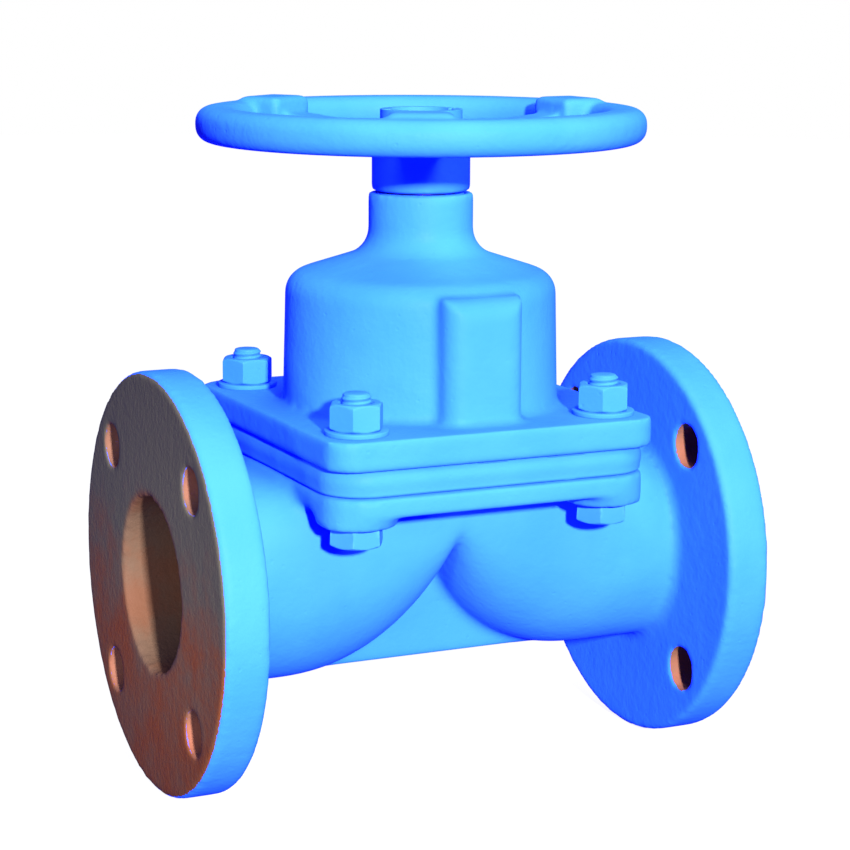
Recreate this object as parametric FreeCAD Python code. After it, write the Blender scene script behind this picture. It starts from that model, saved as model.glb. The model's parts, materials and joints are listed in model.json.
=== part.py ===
"""Weir-type diaphragm valve with flanged ends, a guided compressor and a handwheel.

Shapes are modelled about the point where the flow axis (X) crosses the spindle axis (Z), with the
valve shut, and are saved with the origin at the centre of the inlet flange's face.
All sizes are in millimetres.
"""
import FreeCAD, Part
import math
import os

Vector = FreeCAD.Vector
X_AXIS = Vector(1, 0, 0)
Y_AXIS = Vector(0, 1, 0)
Z_AXIS = Vector(0, 0, 1)

# ---- driving dimensions -------------------------------------------------------------------------
# Pipe ends
face_to_face = 254.0
bore_diameter = 76.0
flange_diameter = 184.0
flange_thickness = 20.0
flange_bolt_circle = 146.0
flange_bolt_count = 4
flange_hole_diameter = 19.0
machined_bore_length = 41.0
flange_edge_chamfer = 1.0

# Body casting
body_wall = 8.0
core_undersize = 0.8          # the cast passage is this much smaller in radius than the machined bore
bulb_centre_x = 70.0          # where each passage starts to climb towards the weir
bulb_rise = 18.0              # height of the arch's apex above the flow axis
spring_line_rise = 25.0       # height where the passage walls become upright at the weir
passage_squareness = 4.0      # power of the passage's upper outline at the bulb, 2 being round
crown_drop = 2.0              # top of the passages' outside below the seat, near the weir
weir_crest_z = 24.0
rib_thickness = 9.0
rib_half_length = 75.0
rib_bottom_margin = 1.0
section_points = 32

# Stack of square flanges that clamps the diaphragm
seat_height = 48.0            # body's top face above the flow axis
diaphragm_edge_thickness = 11.2
bonnet_plate_thickness = 12.8
body_plate_thickness = 9.5
plate_half_x = 76.0
plate_half_y = 82.5
plate_corner_radius = 12.0
body_plate_inset = 1.5
body_plate_corner_radius = 18.0
diaphragm_inset = 1.0
diaphragm_corner_radius = 20.0
corner_boss_drop = 5.0
corner_boss_width = 33.0
corner_boss_radius = 15.0

# Bonnet bolting
bolt_x = 58.0
bolt_y = 63.0
bolt_diameter = 12.7
bolt_hole_clearance = 0.65    # radial
thread_clearance = 0.05       # radial, between plain-modelled threads
hex_across_flats = 20.8
bolt_head_height = 8.5
nut_height = 11.4
washer_diameter = 27.0
washer_thickness = 2.0
bolt_end_projection = 4.0
bolt_end_chamfer = 1.2

# Diaphragm and compressor
opening_half_x = 50.0
opening_half_y = 43.0
membrane_thickness = 6.0
seat_clearance = 0.2          # diaphragm to weir
press_clearance = 0.4         # compressor to diaphragm
stud_boss_radius = 13.0
stud_boss_height = 8.0
stud_head_radius = 10.0
stud_head_thickness = 3.0
stud_head_cover = 3.5         # rubber left under the stud's head
stud_radius = 5.0
stud_thread_length = 22.0
moulding_clearance = 0.02
compressor_rim_height = 12.5
compressor_boss_radius = 16.0
compressor_boss_height = 24.0
guide_half_width = 9.5
guide_reach = 60.0
guide_clearance = 0.06
guide_lug_height = 17.0
cross_pin_radius = 3.5

# Bonnet casting
dome_base_radius = 61.3
dome_top_radius = 59.5
dome_top_z = 128.2
dome_wall = 7.0
dome_edge_radius = 10.4
shoulder_slope_degrees = 17.9
neck_wall = 4.0               # outside the gland's counterbore
neck_fillet = 12.3
neck_top_z = 164.2
neck_edge_chamfer = 1.0
lobe_half_width = 18.5
lobe_reach = 69.0
lobe_top_z = 125.5
lobe_edge_radius = 9.0

# Spindle drive
spindle_radius = 11.0
spindle_lead = 5.0
spindle_travel = 32.5
spindle_end_radius = 8.0
spindle_end_length = 20.0
spindle_top_gap = 2.0
running_clearance = 0.05      # radial, on every turning fit
sleeve_wall = 4.0
sleeve_collar_width = 3.6
sleeve_collar_height = 8.0
sleeve_hub_wall = 3.0
sleeve_guide_length = 6.0
collar_clearance = 0.4        # radial, collar to counterbore
neck_floor_thickness = 4.0
thrust_washer_thickness = 2.0
axial_clearance = 0.1
oring_radius = 1.5
groove_clearance = 0.1

# Handwheel
wheel_radius = 98.2
rim_width = 20.0
rim_height = 15.2
rim_bottom_z = 186.4
rim_edge_radius = 6.5
hub_wall = 7.6
hub_gap = 0.8
hub_top_z = 192.5
spoke_count = 3
first_spoke_degrees = 5.0
spoke_width = 17.0
spoke_thickness = 10.0
spoke_drop = 9.0              # how far the spoke's hub end lies below its rim end
spoke_rim_z = 199.0
lump_width = 28.0
lump_inner_radius = 66.0
lump_outer_radius = 88.0
lump_rise = 2.2
lump_edge_radius = 3.0
key_width = 5.0
key_height = 5.0
hub_nut_width = 4.0
hub_nut_height = 8.0
spanner_hole_radius = 2.0
spanner_hole_inset = 2.5      # hole's centre in from the nut's outside
spanner_hole_depth = 4.0

# ---- heights and sizes worked out from the above ------------------------------------------------
half_length = face_to_face / 2
bore_radius = bore_diameter / 2
flange_radius = flange_diameter / 2
body_radius = bore_radius + body_wall
crown_z = seat_height - crown_drop
diaphragm_top_z = seat_height + diaphragm_edge_thickness
plate_top_z = diaphragm_top_z + bonnet_plate_thickness
body_plate_bottom_z = seat_height - body_plate_thickness
boss_bottom_z = body_plate_bottom_z - corner_boss_drop
seat_depth = seat_height - weir_crest_z
bolt_radius = bolt_diameter / 2
bolt_hole_radius = bolt_radius + bolt_hole_clearance
nut_bottom_z = plate_top_z + washer_thickness
bolt_top_z = nut_bottom_z + nut_height + bolt_end_projection
compressor_rim_z = seat_height + compressor_rim_height
compressor_top_z = compressor_rim_z + compressor_boss_height
cross_pin_z = compressor_rim_z + compressor_boss_height / 2
sleeve_radius = spindle_radius + sleeve_wall
sleeve_collar_radius = sleeve_radius + sleeve_collar_width
sleeve_hub_radius = spindle_radius + sleeve_hub_wall
counterbore_radius = sleeve_collar_radius + collar_clearance
neck_radius = counterbore_radius + neck_wall
hub_radius = sleeve_hub_radius + hub_wall
hub_nut_radius = sleeve_hub_radius + hub_nut_width
shoulder_tangent = math.tan(math.radians(shoulder_slope_degrees))
shoulder_rise = (dome_top_radius - neck_radius) * shoulder_tangent
shoulder_top_z = dome_top_z + shoulder_rise
counterbore_floor_z = shoulder_top_z + neck_floor_thickness
lower_washer_top_z = counterbore_floor_z + thrust_washer_thickness
collar_bottom_z = lower_washer_top_z + axial_clearance
collar_top_z = collar_bottom_z + sleeve_collar_height
upper_washer_bottom_z = collar_top_z + axial_clearance
gland_bottom_z = upper_washer_bottom_z + thrust_washer_thickness
hub_bottom_z = neck_top_z + hub_gap
hub_nut_top_z = hub_top_z + hub_nut_height
rim_top_z = rim_bottom_z + rim_height
rim_inner_radius = wheel_radius - rim_width


# ---- shape helpers ------------------------------------------------------------------------------
def cylinder(radius, bottom_z, top_z, x=0.0, y=0.0):
    """Upright cylinder between two heights."""
    return Part.makeCylinder(radius, top_z - bottom_z, Vector(x, y, bottom_z), Z_AXIS)


def ring(outer_radius, inner_radius, bottom_z, top_z, x=0.0, y=0.0):
    """Upright tube between two heights."""
    outer = cylinder(outer_radius, bottom_z, top_z, x, y)
    return outer.cut(cylinder(inner_radius, bottom_z, top_z, x, y))


def box(low_x, high_x, low_y, high_y, low_z, high_z):
    """Box between two corners."""
    return Part.makeBox(high_x - low_x, high_y - low_y, high_z - low_z, Vector(low_x, low_y, low_z))


def upright_edges(shape):
    """Straight edges of a shape that run along Z."""
    upright = []
    for edge in shape.Edges:
        start, end = edge.firstVertex().Point, edge.lastVertex().Point
        if math.hypot(start.x - end.x, start.y - end.y) < 1e-6 < abs(start.z - end.z):
            upright.append(edge)
    return upright


def rounded_plate(half_x, half_y, corner_radius, bottom_z, top_z):
    """Plate with rounded upright corners, centred on the spindle axis."""
    plate = box(-half_x, half_x, -half_y, half_y, bottom_z, top_z)
    return plate.makeFillet(corner_radius, upright_edges(plate))


def ellipsoid(half_x, half_y, half_z, centre_z):
    """Ellipsoid centred on the spindle axis."""
    stretch = FreeCAD.Matrix()
    stretch.scale(half_x, half_y, half_z)
    stretch.move(Vector(0, 0, centre_z))
    return Part.makeSphere(1.0).transformGeometry(stretch)


def oval_column(half_x, half_y, bottom_z, top_z):
    """Upright column of elliptical section about the spindle axis."""
    outline = Part.Ellipse(Vector(0, 0, bottom_z), half_x, half_y).toShape()
    return Part.Face(Part.Wire(outline)).extrude(Vector(0, 0, top_z - bottom_z))


def hexagon(bottom_z, top_z, x, y):
    """Upright hexagonal prism with two flats facing +Y and -Y."""
    corner_radius = hex_across_flats / math.sqrt(3)
    corners = []
    for index in range(7):
        angle = math.radians(60 * index)
        corners.append(Vector(x + corner_radius * math.cos(angle), y + corner_radius * math.sin(angle), bottom_z))
    return Part.Face(Part.makePolygon(corners)).extrude(Vector(0, 0, top_z - bottom_z))


def lathe(profile):
    """Solid of revolution about Z from a closed list of (radius, height) points."""
    points = [Vector(radius, 0, height) for radius, height in profile]
    return Part.Face(Part.makePolygon(points + points[:1])).revolve(Vector(0, 0, 0), Z_AXIS, 360)


def round_edge(shape, radius, edge_radius, height):
    """Fillet the round edge that has this radius about Z and lies at this height."""
    chosen = []
    for edge in shape.Edges:
        if not isinstance(edge.Curve, Part.Circle):
            continue
        centre = edge.Curve.Center
        on_axis = math.hypot(centre.x, centre.y) < 1e-6
        if on_axis and abs(edge.Curve.Radius - radius) < 1e-3 and abs(centre.z - height) < 1e-3:
            chosen.append(edge)
    return shape.makeFillet(edge_radius, chosen)


def bolt_places():
    """Name and place of each bonnet bolt."""
    for x_name, x_side in (("inlet", -1), ("outlet", 1)):
        for y_name, y_side in (("front", -1), ("rear", 1)):
            yield x_name + "_" + y_name, x_side * bolt_x, y_side * bolt_y


def drill_bolt_holes(shape, bottom_z, top_z):
    """Cut the four bonnet bolt holes."""
    for name, x, y in bolt_places():
        shape = shape.cut(cylinder(bolt_hole_radius, bottom_z, top_z, x, y))
    return shape


def save(name, shape):
    """Write one sub-part, with the origin at the inlet flange's face."""
    placed = shape.copy()
    placed.translate(Vector(half_length, 0, 0))
    placed.exportStep("parts/" + name + ".step")
    print(name, len(placed.Solids), round(placed.Volume), placed.isValid())


# ---- body ---------------------------------------------------------------------------------------
def passage_section(x, half_width, spring_z, bottom_z, top_z, squareness):
    """Closed outline across the flow: half an ellipse below, and a rounder or squarer top."""
    points = []
    for step in range(section_points):
        angle = 2 * math.pi * step / section_points
        across, up = math.cos(angle), math.sin(angle)
        if up > 0:
            across = math.copysign(abs(across) ** (2 / squareness), across)
            up = (top_z - spring_z) * up ** (2 / squareness)
        else:
            up = (spring_z - bottom_z) * up
        points.append(Vector(x, half_width * across, spring_z + up))
    curve = Part.BSplineCurve()
    curve.interpolate(points, True)
    return Part.Wire(curve.toShape())


def passage(side, radius, start_x, end_x, squareness, top_z):
    """Round passage that climbs along a quarter ellipse to the weir."""
    sections = []
    for share in (0.0, 1 / 3, 2 / 3):
        x = start_x + (bulb_centre_x - start_x) * share
        power = 2 + (squareness - 2) * share * share * (3 - 2 * share)
        roof_z = radius + (top_z - radius) * share
        sections.append(passage_section(side * x, radius, 0.0, -radius, roof_z, power))
    for step in range(7):
        turn = math.radians(15 * step)
        x = bulb_centre_x - (bulb_centre_x - end_x) * math.sin(turn)
        bottom_z = bulb_rise - (bulb_rise + radius) * math.cos(turn)
        spring_z = spring_line_rise * math.sin(turn)
        sections.append(passage_section(side * x, radius, spring_z, bottom_z, top_z, squareness))
    return Part.makeLoft(sections, True, False)


def end_flange(side):
    """Round pipe flange with its outer edges broken."""
    inner_x = side * (half_length - flange_thickness)
    disc = Part.makeCylinder(flange_radius, flange_thickness, Vector(inner_x, 0, 0), X_AXIS * side)
    rims = [edge for edge in disc.Edges if isinstance(edge.Curve, Part.Circle)]
    return disc.makeChamfer(flange_edge_chamfer, rims)


def corner_boss(x, y):
    """Deeper pad under one corner of the body's square flange."""
    half = corner_boss_width / 2
    pad = box(x - half, x + half, y - half, y + half, boss_bottom_z, seat_height)
    return pad.makeFillet(corner_boss_radius, upright_edges(pad))


def make_body():
    """Cast body: end flanges, two climbing passages, weir, stiffening rib and square flange."""
    plate_x = plate_half_x - body_plate_inset
    plate_y = plate_half_y - body_plate_inset
    body = rounded_plate(plate_x, plate_y, body_plate_corner_radius, body_plate_bottom_z, seat_height)
    for name, x, y in bolt_places():
        body = body.fuse(corner_boss(x, y))
    for side in (-1, 1):
        outer_start_x = half_length - flange_thickness / 2
        body = body.fuse(passage(side, body_radius, outer_start_x, 0.0, passage_squareness, crown_z))
        body = body.fuse(end_flange(side))
    rib_bottom_z = rib_bottom_margin - body_radius
    body = body.fuse(box(-rib_half_length, rib_half_length, -rib_thickness / 2, rib_thickness / 2,
                         rib_bottom_z, bulb_rise))
    core_radius = bore_radius - core_undersize
    core_start_x = half_length - machined_bore_length + 4
    for side in (-1, 1):
        body = body.cut(passage(side, core_radius, core_start_x, body_wall, 2.0, core_radius))
        body = body.cut(Part.makeCylinder(bore_radius, machined_bore_length,
                                          Vector(side * half_length, 0, 0), X_AXIS * -side))
        for index in range(flange_bolt_count):
            angle = 2 * math.pi * (index + 0.5) / flange_bolt_count
            y = flange_bolt_circle / 2 * math.cos(angle)
            z = flange_bolt_circle / 2 * math.sin(angle)
            body = body.cut(Part.makeCylinder(flange_hole_diameter / 2, flange_thickness,
                                              Vector(side * half_length, y, z), X_AXIS * -side))
    body = body.cut(ellipsoid(opening_half_x, opening_half_y, seat_depth, seat_height))
    return drill_bolt_holes(body, boss_bottom_z, seat_height)


# ---- diaphragm and what moves it ----------------------------------------------------------------
def membrane_bottom_z():
    """Lowest point of the shut diaphragm."""
    return weir_crest_z + seat_clearance


def stud_head_bottom_z():
    """Underside of the stud's head, inside the rubber."""
    return membrane_bottom_z() + stud_head_cover


def stud_boss_top_z():
    """Top of the rubber boss around the stud."""
    return membrane_bottom_z() + membrane_thickness + stud_boss_height


def stud_top_z():
    """Upper end of the stud's thread."""
    return stud_boss_top_z() + stud_thread_length


def make_diaphragm():
    """Rubber diaphragm: square clamped edge and a bulged membrane that lies on the weir."""
    lower = seat_clearance
    upper = seat_clearance + membrane_thickness
    edge = rounded_plate(plate_half_x - diaphragm_inset, plate_half_y - diaphragm_inset,
                         diaphragm_corner_radius, seat_height, diaphragm_top_z)
    bulge = ellipsoid(opening_half_x - lower, opening_half_y - lower, seat_depth - lower, seat_height)
    below_seat = box(-plate_half_x, plate_half_x, -plate_half_y, plate_half_y,
                     seat_height - 2 * seat_depth, seat_height)
    hollow = ellipsoid(opening_half_x - upper, opening_half_y - upper, seat_depth - upper, seat_height)
    sheet = edge.fuse(bulge.common(below_seat)).cut(hollow)
    sheet = sheet.cut(oval_column(opening_half_x - upper, opening_half_y - upper,
                                  seat_height, diaphragm_top_z))
    boss = cylinder(stud_boss_radius, stud_head_bottom_z(), stud_boss_top_z())
    sheet = sheet.fuse(boss)
    sheet = sheet.cut(cylinder(stud_head_radius + moulding_clearance,
                               stud_head_bottom_z() - moulding_clearance,
                               stud_head_bottom_z() + stud_head_thickness + moulding_clearance))
    sheet = sheet.cut(cylinder(stud_radius + moulding_clearance, stud_head_bottom_z(), stud_boss_top_z()))
    return drill_bolt_holes(sheet, seat_height, diaphragm_top_z)


def make_diaphragm_stud():
    """Stud moulded into the rubber, with a flat round head."""
    head = cylinder(stud_head_radius, stud_head_bottom_z(), stud_head_bottom_z() + stud_head_thickness)
    return head.fuse(cylinder(stud_radius, stud_head_bottom_z(), stud_top_z()))


def make_compressor():
    """Cast compressor with a rounded face, a socket for the spindle and two guide lugs."""
    gap = seat_clearance + membrane_thickness + press_clearance
    half_x, half_y, depth = opening_half_x - gap, opening_half_y - gap, seat_depth - gap
    face = ellipsoid(half_x, half_y, depth, seat_height)
    face = face.common(box(-half_x, half_x, -half_y, half_y, seat_height - depth, seat_height))
    shape = face.fuse(oval_column(half_x, half_y, seat_height, compressor_rim_z))
    shape = shape.fuse(cylinder(compressor_boss_radius, seat_height, compressor_top_z))
    lug_half = guide_half_width - guide_clearance
    lug_reach = guide_reach - press_clearance
    lug_bottom_z = diaphragm_top_z + press_clearance
    shape = shape.fuse(box(-lug_half, lug_half, -lug_reach, lug_reach,
                           lug_bottom_z, lug_bottom_z + guide_lug_height))
    shape = shape.cut(cylinder(stud_boss_radius + press_clearance, 0, stud_boss_top_z() + press_clearance))
    shape = shape.cut(cylinder(stud_radius + thread_clearance, 0, stud_top_z() + press_clearance))
    shape = shape.cut(cylinder(spindle_end_radius + thread_clearance,
                               compressor_top_z - spindle_end_length, compressor_top_z))
    return shape.cut(cross_pin(thread_clearance))


def cross_pin(clearance):
    """Pin along X through the compressor's socket and the spindle's end."""
    length = 2 * compressor_boss_radius
    return Part.makeCylinder(cross_pin_radius + clearance, length,
                             Vector(-length / 2, 0, cross_pin_z), X_AXIS)


def spindle_top_z():
    """Top of the spindle with the valve shut."""
    return hub_nut_top_z - spindle_top_gap


def make_spindle():
    """Spindle: plain-modelled trapezoidal thread and a reduced, cross-drilled lower end."""
    shoulder_z = compressor_top_z
    chamfer = bolt_end_chamfer
    screw = lathe([(0, shoulder_z), (spindle_radius, shoulder_z),
                   (spindle_radius, spindle_top_z() - chamfer),
                   (spindle_radius - chamfer, spindle_top_z()), (0, spindle_top_z())])
    end = cylinder(spindle_end_radius, shoulder_z - spindle_end_length + press_clearance, shoulder_z)
    return screw.fuse(end).cut(cross_pin(thread_clearance))


# ---- bonnet -------------------------------------------------------------------------------------
def dome(base_radius, top_radius, bottom_z, top_z, edge_radius, inner_end_radius, slope):
    """Round tapered shell outline with a rounded edge and a sloping shoulder."""
    roof_z = top_z + (top_radius - inner_end_radius) * slope
    solid = lathe([(0, bottom_z), (base_radius, bottom_z), (top_radius, top_z),
                   (inner_end_radius, roof_z), (0, roof_z)])
    return round_edge(solid, top_radius, edge_radius, top_z)


def guide_lobe(side):
    """Upright rounded rib on the dome that houses one guide slot."""
    half = lobe_half_width
    lobe = box(-half, half, min(0, side * lobe_reach), max(0, side * lobe_reach), diaphragm_top_z, lobe_top_z)
    edges = []
    for edge in lobe.Edges:
        middle = edge.CenterOfMass
        outer = abs(middle.y - side * lobe_reach) < 1e-6
        if outer and middle.z > diaphragm_top_z + 1e-6:
            edges.append(edge)
    return lobe.makeFillet(lobe_edge_radius, edges)


def make_bonnet():
    """Cast bonnet: square plate, round dome with two guide lobes, and the neck."""
    bonnet = rounded_plate(plate_half_x, plate_half_y, plate_corner_radius, diaphragm_top_z, plate_top_z)
    outer = dome(dome_base_radius, dome_top_radius, diaphragm_top_z, dome_top_z,
                 dome_edge_radius, neck_radius, shoulder_tangent)
    neck = cylinder(neck_radius, diaphragm_top_z, neck_top_z)
    outer = round_edge(outer.fuse(neck), neck_radius, neck_fillet, shoulder_top_z)
    bonnet = bonnet.fuse(outer)
    for side in (-1, 1):
        bonnet = bonnet.fuse(guide_lobe(side))
    cavity = dome(dome_base_radius - dome_wall, dome_top_radius - dome_wall, plate_top_z,
                  dome_top_z - dome_wall, dome_edge_radius - dome_wall / 2, sleeve_radius, shoulder_tangent)
    bonnet = bonnet.cut(cavity)
    bonnet = bonnet.cut(oval_column(opening_half_x, opening_half_y, diaphragm_top_z, plate_top_z))
    slot_top_z = diaphragm_top_z + guide_lug_height + spindle_travel + 2 * press_clearance
    bonnet = bonnet.cut(box(-guide_half_width, guide_half_width, -guide_reach, guide_reach,
                            diaphragm_top_z, slot_top_z))
    bonnet = bonnet.cut(cylinder(sleeve_radius + running_clearance, dome_top_z - dome_wall, neck_top_z))
    bonnet = bonnet.cut(cylinder(counterbore_radius, counterbore_floor_z, neck_top_z))
    return drill_bolt_holes(bonnet, diaphragm_top_z, plate_top_z)


def make_spindle_sleeve():
    """Rotating nut: collar held between the thrust washers, keyed upper end for the handwheel."""
    bore = spindle_radius + running_clearance
    bottom_z = counterbore_floor_z - sleeve_guide_length
    sleeve = ring(sleeve_radius, bore, bottom_z, hub_bottom_z)
    sleeve = sleeve.fuse(ring(sleeve_collar_radius, bore, collar_bottom_z, collar_top_z))
    sleeve = sleeve.fuse(ring(sleeve_hub_radius, bore, hub_bottom_z, hub_nut_top_z - spindle_top_gap))
    return sleeve.cut(key_block(0.0))


def make_thrust_washer(bottom_z):
    """Flat washer between the sleeve's collar and the neck."""
    return ring(counterbore_radius - running_clearance, sleeve_radius + running_clearance,
                bottom_z, bottom_z + thrust_washer_thickness)


def make_sleeve_gland():
    """Screwed ring that holds the sleeve down in the neck, grooved for its ring seal."""
    gland = ring(counterbore_radius - thread_clearance, sleeve_radius + running_clearance,
                 gland_bottom_z, neck_top_z)
    low_z, high_z = groove_heights()
    return gland.cut(cylinder(sleeve_radius + 2 * oring_radius + 2 * groove_clearance, low_z, high_z))


def groove_heights():
    """Lower and upper face of the ring seal's groove."""
    middle_z = (gland_bottom_z + neck_top_z) / 2
    half = oring_radius + groove_clearance
    return middle_z - half, middle_z + half


def make_gland_oring():
    """Ring seal that bears on the turning sleeve."""
    middle_z = (gland_bottom_z + neck_top_z) / 2
    centre_radius = sleeve_radius + running_clearance + oring_radius
    return Part.makeTorus(centre_radius, oring_radius, Vector(0, 0, middle_z), Z_AXIS)


# ---- handwheel ----------------------------------------------------------------------------------
def key_block(clearance):
    """Block of the handwheel key, along the sleeve's keyed end."""
    half = key_width / 2 + clearance
    inner = sleeve_hub_radius - key_height / 2 - clearance
    return box(-half, half, inner, inner + key_height + 2 * clearance, hub_bottom_z, hub_top_z)


def rim_ring():
    """Rim with rounded corners."""
    rim = ring(wheel_radius, rim_inner_radius, rim_bottom_z, rim_top_z)
    rims = [edge for edge in rim.Edges if isinstance(edge.Curve, Part.Circle)]
    return rim.makeFillet(rim_edge_radius, rims)


def spoke():
    """Spoke along X that rises from the hub to a raised pad on the rim."""
    middle = rim_inner_radius + rim_width / 2
    hub_z = spoke_rim_z - spoke_drop
    outline = [(0, hub_z), (middle, spoke_rim_z),
               (middle, spoke_rim_z - spoke_thickness), (0, hub_z - spoke_thickness)]
    points = [Vector(x, -spoke_width / 2, z) for x, z in outline]
    arm = Part.Face(Part.makePolygon(points + points[:1])).extrude(Vector(0, spoke_width, 0))
    pad = box(lump_inner_radius, lump_outer_radius, -lump_width / 2, lump_width / 2,
              rim_bottom_z + rim_height / 2, rim_top_z + lump_rise)
    crown = [edge for edge in pad.Edges if edge.CenterOfMass.z > rim_top_z]
    return arm.fuse(pad.makeFillet(lump_edge_radius, upright_edges(pad) + crown))


def make_handwheel():
    """Cast handwheel with raised pads where its spokes meet the rim."""
    wheel = rim_ring()
    for index in range(spoke_count):
        arm = spoke()
        arm.rotate(Vector(0, 0, 0), Z_AXIS, first_spoke_degrees + 360 / spoke_count * index)
        wheel = wheel.fuse(arm)
    wheel = wheel.fuse(cylinder(hub_radius, hub_bottom_z, hub_top_z))
    wheel = wheel.cut(cylinder(sleeve_hub_radius + thread_clearance, hub_bottom_z, hub_top_z + lump_rise))
    return wheel.cut(key_block(0.0))


def make_hub_nut():
    """Round nut with two spanner holes that holds the handwheel on the sleeve."""
    nut = ring(hub_nut_radius, sleeve_hub_radius + thread_clearance, hub_top_z, hub_nut_top_z)
    for side in (-1, 1):
        nut = nut.cut(cylinder(spanner_hole_radius, hub_nut_top_z - spanner_hole_depth, hub_nut_top_z,
                               side * (hub_nut_radius - spanner_hole_inset)))
    return nut


# ---- fasteners ----------------------------------------------------------------------------------
def make_bolt(x, y):
    """Hexagon bolt, head below the body's corner boss."""
    head = hexagon(boss_bottom_z - bolt_head_height, boss_bottom_z, x, y)
    shank = lathe([(0, boss_bottom_z - bolt_head_height / 2), (bolt_radius, boss_bottom_z - bolt_head_height / 2),
                   (bolt_radius, bolt_top_z - bolt_end_chamfer),
                   (bolt_radius - bolt_end_chamfer, bolt_top_z), (0, bolt_top_z)])
    shank.translate(Vector(x, y, 0))
    return head.fuse(shank)


def make_nut(x, y):
    """Hexagon nut on top of its washer."""
    top_z = nut_bottom_z + nut_height
    return hexagon(nut_bottom_z, top_z, x, y).cut(cylinder(bolt_radius + thread_clearance,
                                                           nut_bottom_z, top_z, x, y))


def make_washer(x, y):
    """Plain washer on the bonnet plate."""
    return ring(washer_diameter / 2, bolt_hole_radius, plate_top_z, nut_bottom_z, x, y)


# ---- build --------------------------------------------------------------------------------------
def main():
    """Build and write every sub-part."""
    os.makedirs("parts", exist_ok=True)
    save("body", make_body())
    save("diaphragm", make_diaphragm())
    save("diaphragm_stud", make_diaphragm_stud())
    save("compressor", make_compressor())
    save("compressor_pin", cross_pin(0.0))
    save("spindle", make_spindle())
    save("spindle_sleeve", make_spindle_sleeve())
    save("lower_thrust_washer", make_thrust_washer(counterbore_floor_z))
    save("upper_thrust_washer", make_thrust_washer(upper_washer_bottom_z))
    save("sleeve_gland", make_sleeve_gland())
    save("gland_oring", make_gland_oring())
    save("bonnet", make_bonnet())
    save("handwheel", make_handwheel())
    save("handwheel_key", key_block(0.0))
    save("handwheel_nut", make_hub_nut())
    for name, x, y in bolt_places():
        save("bonnet_bolt_" + name, make_bolt(x, y))
        save("bonnet_nut_" + name, make_nut(x, y))
        save("bonnet_washer_" + name, make_washer(x, y))


main()
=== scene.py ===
import json
import math

import bmesh
import bpy
import numpy as np
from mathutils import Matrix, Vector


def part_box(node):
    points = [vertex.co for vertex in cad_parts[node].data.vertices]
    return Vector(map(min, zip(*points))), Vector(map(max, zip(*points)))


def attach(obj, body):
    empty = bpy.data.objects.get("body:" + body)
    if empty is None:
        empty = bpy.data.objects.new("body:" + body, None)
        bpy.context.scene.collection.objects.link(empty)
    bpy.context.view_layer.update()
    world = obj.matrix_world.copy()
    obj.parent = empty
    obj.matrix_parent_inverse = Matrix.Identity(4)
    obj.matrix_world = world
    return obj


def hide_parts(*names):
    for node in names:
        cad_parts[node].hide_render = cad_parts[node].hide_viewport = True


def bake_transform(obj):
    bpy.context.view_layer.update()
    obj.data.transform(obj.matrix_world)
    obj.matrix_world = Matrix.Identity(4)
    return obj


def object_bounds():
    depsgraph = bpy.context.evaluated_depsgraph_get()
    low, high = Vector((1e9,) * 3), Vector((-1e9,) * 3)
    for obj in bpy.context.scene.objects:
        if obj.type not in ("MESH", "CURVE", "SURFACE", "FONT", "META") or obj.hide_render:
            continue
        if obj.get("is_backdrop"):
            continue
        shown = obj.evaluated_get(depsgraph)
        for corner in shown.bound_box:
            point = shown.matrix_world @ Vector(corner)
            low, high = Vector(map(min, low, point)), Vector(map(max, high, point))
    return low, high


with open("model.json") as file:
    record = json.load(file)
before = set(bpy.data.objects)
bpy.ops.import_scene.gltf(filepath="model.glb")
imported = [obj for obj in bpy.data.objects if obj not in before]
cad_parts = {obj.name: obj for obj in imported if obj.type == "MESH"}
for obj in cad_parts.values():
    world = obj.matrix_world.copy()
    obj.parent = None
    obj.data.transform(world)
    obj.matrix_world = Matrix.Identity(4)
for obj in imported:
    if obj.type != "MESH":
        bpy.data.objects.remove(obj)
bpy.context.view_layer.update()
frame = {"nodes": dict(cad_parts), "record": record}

bl_info = {
    "name": "Diaphragm valve",
    "version": (1, 0, 0),
    "blender": (4, 5, 0),
    "location": "3D View > Sidebar > Valve",
    "description": "Cast, painted and threaded pieces of a flanged diaphragm valve",
    "category": "Add Mesh",
}

MM = 0.001
TURN = 2 * math.pi
FIXED, TURNING, RISING = "valve_body", "wheel_drive", "spindle_drive"
CORNERS = ("inlet_front", "inlet_rear", "outlet_front", "outlet_rear")


# ---- places read from the frame -----------------------------------------------------------------
def low_high(node):
    """Lowest and highest corner of a node at rest, as arrays in metres."""
    low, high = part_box(node)
    return np.array(low), np.array(high)


def middle(node):
    """Centre of a node's box."""
    low, high = low_high(node)
    return (low + high) / 2


BODY_LOW, BODY_HIGH = low_high("body")
SPINDLE_X = float(middle("spindle")[0])
LIFT = next(joint for joint in frame["record"]["behaviour"]["joints"] if joint["name"] == "spindle_lift")
SEAT_Z = LIFT["deforming_nodes"][0]["fixed_end_z_m"]


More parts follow.
